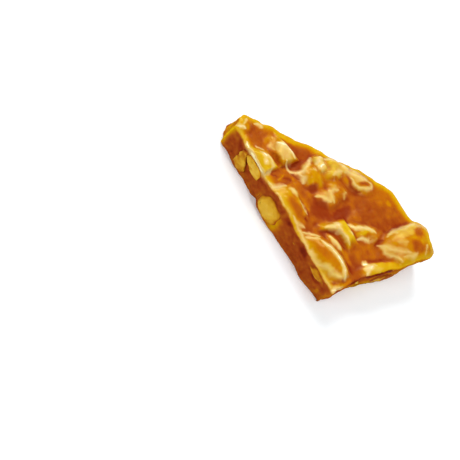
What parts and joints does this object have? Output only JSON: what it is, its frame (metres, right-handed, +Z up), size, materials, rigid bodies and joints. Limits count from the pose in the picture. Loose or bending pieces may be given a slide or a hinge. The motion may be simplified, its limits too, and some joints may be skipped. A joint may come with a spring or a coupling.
{
  "type": "nut brittle piece",
  "caption": "Shard broken from a sheet of glossy amber caramel brittle, with pale nut chunks showing at its rough sides and swelling its top.",
  "frame": {"origin": "centre of the bounding box at the flat underside that the piece lies on", "axes": "+X along the long straight broken front side, from the narrow tip to the wide end; +Y from the front side to the back; +Z up, out of the poured bumpy top"},
  "size_m": [0.0463, 0.0303, 0.0099],
  "materials": {
    "amber_caramel": "hard glassy amber caramel, glossy and slightly see-through, golden over the buried nuts",
    "cream_nut": "broken roasted nut, pale yellow and dull, glazed by a thin film of caramel"
  },
  "bodies": {
    "root": {"caramel": "amber_caramel", "nut_front_tip": "cream_nut", "nut_front_left": "cream_nut", "nut_front_middle": "cream_nut", "nut_front_right": "cream_nut", "nut_end_top": "cream_nut", "nut_end_back": "cream_nut", "nut_back_tip": "cream_nut", "nut_back_left": "cream_nut", "nut_back_middle": "cream_nut", "nut_back_right": "cream_nut"}
  },
  "joints": []
}
